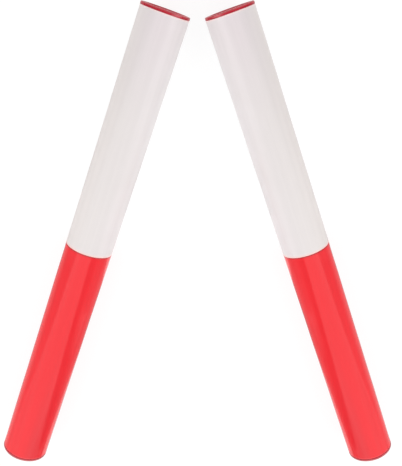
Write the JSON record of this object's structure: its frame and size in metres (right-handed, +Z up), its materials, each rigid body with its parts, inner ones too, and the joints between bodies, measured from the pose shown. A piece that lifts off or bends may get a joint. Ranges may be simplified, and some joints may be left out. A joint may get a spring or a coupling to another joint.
{
  "type": "focus training sticks",
  "caption": "Round padded training sticks with a white striking half, a red grip half and flat crimson end caps, lying tips together on the floor.",
  "frame": {"origin": "on the floor under the centre of the pair's bounding box", "axes": "+X towards the right stick, +Y from the butts towards the tips along the line midway between the sticks, +Z up off the floor"},
  "size_m": [0.451, 0.5068, 0.05],
  "materials": {
    "white_vinyl": "smooth satin-gloss white vinyl sheet over foam",
    "red_vinyl": "smooth glossy red vinyl sheet over foam",
    "cap_plastic": "moulded crimson plastic, semi-gloss",
    "foam": "dark closed-cell foam",
    "core_plastic": "extruded rigid pale grey plastic"
  },
  "bodies": {
    "root": {"left_core_tube": "core_plastic", "left_foam_sleeve": "foam", "left_strike_cover": "white_vinyl", "left_grip_cover": "red_vinyl", "left_tip_cap": "cap_plastic", "left_butt_cap": "cap_plastic", "right_core_tube": "core_plastic", "right_foam_sleeve": "foam", "right_strike_cover": "white_vinyl", "right_grip_cover": "red_vinyl", "right_tip_cap": "cap_plastic", "right_butt_cap": "cap_plastic"}
  },
  "joints": []
}
